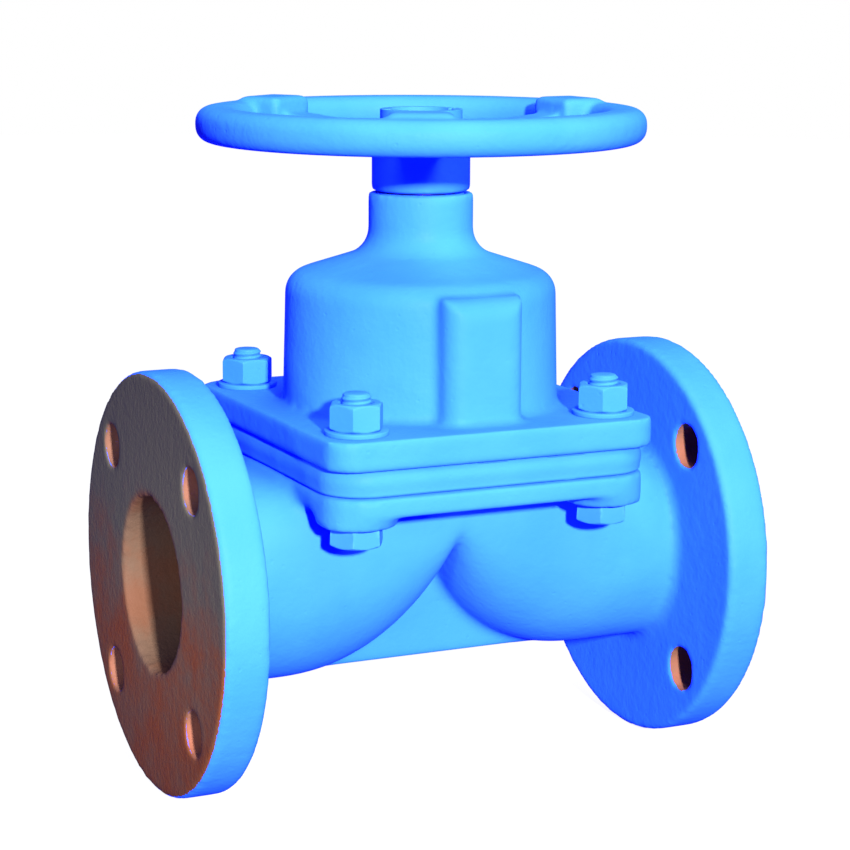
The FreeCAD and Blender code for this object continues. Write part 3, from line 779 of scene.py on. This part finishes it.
def chamfered(angle, across_flats, depth):
    """Hexagon radius limited by a 30 degree cone that starts at the flats: depth is below the face."""
    cone = across_flats / 2 * 0.97 + depth * 1.73
    flat = hexagon_radius(angle, across_flats)
    soft = 0.25 * MM
    return 0.5 * (cone + flat - np.sqrt((cone - flat) ** 2 + soft ** 2))


def nut_mesh(corner, sizes):
    """Nut: rows run up the chamfered outside and back down the bore, closed on themselves."""
    low, high = low_high("bonnet_nut_" + corner)
    centre = middle("bonnet_nut_" + corner)
    angle = np.arange(96) * TURN / 96
    bore = np.full(96, sizes.bolt_radius + 0.08 * MM)
    flats = sizes.across_flats
    radius, height = [bore + 0.6 * MM], [low[2]]
    for step in CHAMFER_DEPTHS:
        radius.append(chamfered(angle, flats, step))
        height.append(low[2] + step)
    for step in CHAMFER_DEPTHS[::-1]:
        radius.append(chamfered(angle, flats, step))
        height.append(high[2] - step)
    radius += [np.full(96, flats / 2 * 0.92), bore + 1.1 * MM, bore, bore]
    height += [high[2], high[2] - 0.05 * MM, high[2] - 1.0 * MM, low[2] + 0.6 * MM]
    points = polar(np.stack(radius), np.stack([np.full(96, h) for h in height]), angle, centre)
    return grid_surface("nut", points, loop_rows=True)


def thread_radius(angle, height, radius, pitch, depth):
    """Screw thread: a triangular wave that climbs one pitch in a turn."""
    phase = (height / pitch - angle / TURN) % 1.0
    return radius - depth * (1 - np.abs(2 * phase - 1) * 1.15).clip(0, 1)


def bolt_mesh(corner, sizes):
    """Bolt: chamfered hexagon head, shank, and a threaded end with a domed point."""
    low, high = low_high("bonnet_bolt_" + corner)
    centre = middle("bonnet_bolt_" + corner)
    head_top = float(low[2]) + HEAD_HEIGHT
    columns = 96
    angle = np.arange(columns) * TURN / columns
    flats = sizes.across_flats
    radius = [np.full(columns, flats / 2 * s) for s in (0.3, 0.9)]
    height = [low[2] + 0.25 * MM, low[2] + 0.2 * MM]
    for step in CHAMFER_DEPTHS:
        radius.append(chamfered(angle, flats, step))
        height.append(low[2] + step)
    radius.append(hexagon_radius(angle, flats) - 0.3 * MM)
    height.append(head_top - 0.05 * MM)
    radius += [hexagon_radius(angle, flats) * 0.96, np.full(columns, sizes.bolt_radius)]
    height += [head_top, head_top]
    thread_start = float(low_high("bonnet_nut_" + corner)[0][2])
    radius.append(np.full(columns, sizes.bolt_radius))
    height.append(thread_start)
    end = float(high[2])
    for z in np.arange(thread_start + 0.4 * MM, end - 0.25 * MM, 0.3 * MM):
        taper = np.clip((z - (end - POINT_LENGTH)) / POINT_LENGTH, 0, 1) * 1.1 * MM
        fade = 1 - taper / (1.3 * MM)
        depth = sizes.thread_depth * fade
        radius.append(thread_radius(angle, z, sizes.bolt_radius, sizes.bolt_pitch, depth) - taper)
        height.append(z)
    radius += [np.full(columns, sizes.bolt_radius - 1.5 * MM), np.full(columns, sizes.bolt_radius * 0.4)]
    height += [end - 0.08 * MM, end]
    points = polar(np.stack(radius), np.stack([np.full(columns, h) for h in height]), angle, centre)
    return grid_surface("bolt", points)


def ring_mesh(node, inner_radius, corner=0.4 * MM):
    """Flat ring with rounded corners: a small rounded rectangle carried round the axis."""
    low, high = low_high(node)
    centre = middle(node)
    outer = (high[0] - low[0]) / 2
    turns = np.linspace(0, TURN, 24, endpoint=False)
    half = (high[2] - low[2]) / 2
    across = (outer - inner_radius) / 2
    side, level = np.sign(np.cos(turns + 1e-3)), np.sign(np.sin(turns + 1e-3))
    profile_r = (outer + inner_radius) / 2 + (across - corner) * side + corner * np.cos(turns)
    profile_z = centre[2] + (half - corner) * level + corner * np.sin(turns)
    angle = np.arange(72) * TURN / 72
    radius = profile_r[:, None] + 0 * angle
    height = profile_z[:, None] + 0 * angle
    return grid_surface("ring", polar(radius, height, angle, centre), loop_rows=True)


class VALVE_OT_bolting(bpy.types.Operator):
    """Make the four bonnet bolts with their nuts and washers"""
    bl_idname = "valve.bolting"
    bl_label = "Bonnet bolting"

    def execute(self, context):
        sizes = context.scene.valve_fasteners
        paint = painted_material("bolting_paint", 0.25)
        makers = (("bolt", bolt_mesh), ("nut", nut_mesh))
        for corner in CORNERS:
            for kind, maker in makers:
                piece = link("bonnet_" + kind + "_painted_" + corner, maker(corner, sizes), paint, 32)
                finish_piece(piece, FIXED, "fastener_paint", "bonnet_" + kind + "_" + corner)
            node = "bonnet_washer_" + corner
            piece = link("bonnet_washer_painted_" + corner, ring_mesh(node, WASHER_BORE), paint, 32)
            finish_piece(piece, FIXED, "fastener_paint", node)
        return {"FINISHED"}


# ---- spindle drive ------------------------------------------------------------------------------
TENON_LENGTH = 19.6 * MM
TENON_RADII = (3 * MM, 7 * MM, 7.95 * MM, 7.95 * MM)
SPINDLE_THREAD_DEPTH = 2.0 * MM


def spindle_mesh(pitch):
    """Spindle: trapezoidal thread that climbs one lead in a turn, on a reduced lower end."""
    low, high = low_high("spindle")
    centre = middle("spindle")
    radius_out = (high[0] - low[0]) / 2
    shoulder = float(low[2]) + TENON_LENGTH
    columns = 72
    angle = np.arange(columns) * TURN / columns
    radius = [np.full(columns, r) for r in TENON_RADII]
    height = [low[2], low[2], low[2] + 0.9 * MM, shoulder]
    radius.append(np.full(columns, radius_out - 1.6 * MM))
    height.append(shoulder + 0.02 * MM)
    end = float(high[2])
    for z in np.arange(shoulder + 0.6 * MM, end - 2.2 * MM, 0.5 * MM):
        phase = (z / pitch - angle / TURN) % 1.0
        flank = np.clip((np.abs(phase - 0.5) - 0.17) / 0.14, 0, 1)
        radius.append(radius_out - SPINDLE_THREAD_DEPTH * (1 - flank))
        height.append(z)
    for drop, inset in ((2.0, 0.0), (1.2, 0.0), (0.5, 0.5), (0.12, 1.1), (0.0, 1.8)):
        radius.append(np.full(columns, radius_out - inset * MM))
        height.append(end - drop * MM)
    points = polar(np.stack(radius), np.stack([np.full(columns, h) for h in height]), angle, centre)
    return grid_surface("spindle", points)


def bevelled_copy(node, name, width, material):
    """A node's own shape with its sharp edges broken."""
    piece = link(name, merged_copy(node), material, 30)
    bevel = piece.modifiers.new("broken_edges", "BEVEL")
    bevel.width = width
    bevel.segments = 2
    bevel.limit_method = "ANGLE"
    bevel.angle_limit = math.radians(40)
    bevel.harden_normals = False
    return piece


class VALVE_OT_drive(bpy.types.Operator):
    """Make the spindle, the sleeve nut, the gland ring and the wheel's round nut"""
    bl_idname = "valve.drive"
    bl_label = "Spindle drive"

    def execute(self, context):
        sizes = context.scene.valve_fasteners
        steel = turned_material("spindle_steel", (0.55, 0.56, 0.58), (0.38, 0.37, 0.36), 0.22)
        piece = link("spindle_threaded", spindle_mesh(sizes.spindle_pitch), steel, 40)
        finish_piece(piece, RISING, "steel", "spindle")
        paint = painted_material("small_parts_paint", 0.3)
        bronze = turned_material("turned_bronze", (0.6, 0.4, 0.16), (0.42, 0.26, 0.1), 0.25)
        for node, body, slot, material, width in (
                ("handwheel_nut", TURNING, "fastener_paint", paint, 0.7 * MM),
                ("sleeve_gland", FIXED, "gland_paint", paint, 0.5 * MM),
                ("spindle_sleeve", TURNING, "bronze", bronze, 0.4 * MM)):
            finish_piece(bevelled_copy(node, node + "_finished", width, material), body, slot, node)
        return {"FINISHED"}


class VALVE_OT_inner_parts(bpy.types.Operator):
    """Give the parts inside the valve their metals and rubber"""
    bl_idname = "valve.inner_parts"
    bl_label = "Inner parts"

    def execute(self, context):
        steel = bpy.data.materials["spindle_steel"]
        bronze = bpy.data.materials["turned_bronze"]
        seal = rubber_material("seal_rubber", (0.012, 0.012, 0.012), (0.03, 0.03, 0.03))
        iron = raw_iron_material()
        finishes = {"diaphragm_stud": steel, "compressor_pin": steel, "handwheel_key": steel,
                    "lower_thrust_washer": bronze, "upper_thrust_washer": bronze,
                    "gland_oring": seal, "compressor": iron}
        for node, material in finishes.items():
            for place in frame["nodes"][node].material_slots:
                place.material = material
        return {"FINISHED"}


# ---- stage --------------------------------------------------------------------------------------
FOCUS = (SPINDLE_X, 0, 0.05)
INLET_FOCUS = (0, 0, -0.01)
KEY_PLACE = (SPINDLE_X - 0.44, -2.26, 0.75)
TOP_PLACE = (SPINDLE_X + 0.15, -0.6, 1.9)
CARD_PLACE = (SPINDLE_X - 0.53, -0.4, 0.03)


def area_light(name, place, target, size, power):
    """Softbox that faces a target."""
    lamp = bpy.data.lights.new(name, "AREA")
    lamp.shape = "RECTANGLE"
    lamp.size, lamp.size_y = size
    lamp.energy = power
    holder = bpy.data.objects.new(name, lamp)
    bpy.context.scene.collection.objects.link(holder)
    place, target = np.array(place, float), np.array(target, float)
    holder.location = place
    direction = Vector(target - place)
    holder.rotation_euler = direction.to_track_quat("-Z", "Y").to_euler()
    return holder


def stage_floor():
    """Pale floor: one large flat disc."""
    angle = np.arange(96) * TURN / 96
    reach = np.array([0.2, 0.6, 1.5, 4.0])[:, None]
    height = float(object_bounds()[0][2]) - 0.3 * MM + 0 * angle
    points = np.stack([SPINDLE_X + reach * np.cos(angle), reach * np.sin(angle), height + 0 * reach], -1)
    rows, columns = points.shape[:2]
    index = np.arange(rows * columns).reshape(rows, columns)
    faces = np.stack([index[:-1], index[1:], np.roll(index[1:], -1, 1), np.roll(index[:-1], -1, 1)], -1)
    mesh = bpy.data.meshes.new("floor")
    mesh.from_pydata(points.reshape(-1, 3).tolist(), [], faces.reshape(-1, 4).tolist() + [index[0].tolist()])
    material, tree, shader, coordinates = new_material("pale_floor", Roughness=0.9)
    tone = noise(tree, coordinates, 3.0, 3.0)
    away = add(tree, "ShaderNodeVectorMath", {0: coordinates, 1: (SPINDLE_X, 0, 0)}, operation="DISTANCE")
    far = stretched(tree, away.outputs["Value"], 0.02, 0.17)
    near = mixed(tree, tone, (0.88, 0.88, 0.88), (0.92, 0.92, 0.92))
    tree.links.new(mixed(tree, far, near, (0.0, 0.0, 0.0)), shader.inputs["Base Color"])
    shader.inputs["Emission Color"].default_value = (1, 1, 1, 1)
    tree.links.new(far, shader.inputs["Emission Strength"])
    floor = link("floor", mesh, material)
    floor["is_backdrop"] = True
    return floor


class VALVE_OT_stage(bpy.types.Operator):
    """Make the camera, the softboxes, the inlet's card and the pale floor"""
    bl_idname = "valve.stage"
    bl_label = "Stage"

    def execute(self, context):
        scene = context.scene
        stage = scene.valve_stage
        data = bpy.data.cameras.new("camera")
        data.sensor_width = 36.0
        data.lens = stage.lens
        data.clip_start, data.clip_end = 0.05, 20
        camera = bpy.data.objects.new("camera", data)
        scene.collection.objects.link(camera)
        place = stage.camera_place
        camera.location = (SPINDLE_X + place[0], place[1], place[2])
        camera.rotation_mode = "XYZ"
        turn = Matrix.Rotation(-stage.camera_yaw, 4, "Z") @ Matrix.Rotation(
            math.pi / 2 - stage.camera_pitch, 4, "X") @ Matrix.Rotation(-stage.camera_roll, 4, "Z")
        camera.rotation_euler = turn.to_euler()
        scene.camera = camera
        area_light("key", KEY_PLACE, FOCUS, (0.12, 0.12), stage.key_power)
        area_light("top", TOP_PLACE, FOCUS, (1.2, 1.2), stage.top_power)
        card = area_light("card", CARD_PLACE, INLET_FOCUS, (0.1, 0.1), stage.card_power)
        card.data.spread = math.radians(32)
        card.visible_camera = False
        world = bpy.data.worlds.new("surround")
        scene.world = world
        world.use_nodes = True
        tree = world.node_tree
        background = tree.nodes["Background"]
        seen = add(tree, "ShaderNodeLightPath").outputs["Is Camera Ray"]
        tree.links.new(mixed(tree, seen, stage.fill, (1, 1, 1)), background.inputs["Color"])
        floor = stage_floor()
        floor.visible_diffuse = False
        floor.visible_glossy = False
        scene.view_settings.view_transform = "Standard"
        return {"FINISHED"}


# ---- add-on -------------------------------------------------------------------------------------
PIECE_OPERATORS = (VALVE_OT_body, VALVE_OT_bonnet, VALVE_OT_handwheel, VALVE_OT_diaphragm,
                   VALVE_OT_bolting, VALVE_OT_drive, VALVE_OT_inner_parts, VALVE_OT_stage)


class VALVE_PT_panel(bpy.types.Panel):
    """Lists the valve's settings and the operators that make its pieces"""
    bl_idname = "VALVE_PT_panel"
    bl_label = "Diaphragm valve"
    bl_space_type = "VIEW_3D"
    bl_region_type = "UI"
    bl_category = "Valve"

    def draw(self, context):
        for label, group in SETTINGS:
            box = self.layout.box()
            for key in group.__annotations__:
                box.prop(getattr(context.scene, label), key)
        for operator in PIECE_OPERATORS:
            self.layout.operator(operator.bl_idname)


def register():
    """Register the classes and put the settings on the scene."""
    for label, group in SETTINGS:
        bpy.utils.register_class(group)
        setattr(bpy.types.Scene, label, bpy.props.PointerProperty(type=group))
    for kind in (*PIECE_OPERATORS, VALVE_PT_panel):
        bpy.utils.register_class(kind)


def unregister():
    """Undo register."""
    for kind in (VALVE_PT_panel, *reversed(PIECE_OPERATORS)):
        bpy.utils.unregister_class(kind)
    for label, group in reversed(SETTINGS):
        delattr(bpy.types.Scene, label)
        bpy.utils.unregister_class(group)


def main():
    """Make every piece in order."""
    register()
    for operator in PIECE_OPERATORS:
        family, name = operator.bl_idname.split(".")
        getattr(getattr(bpy.ops, family), name)()


if __name__ == "__main__":
    main()
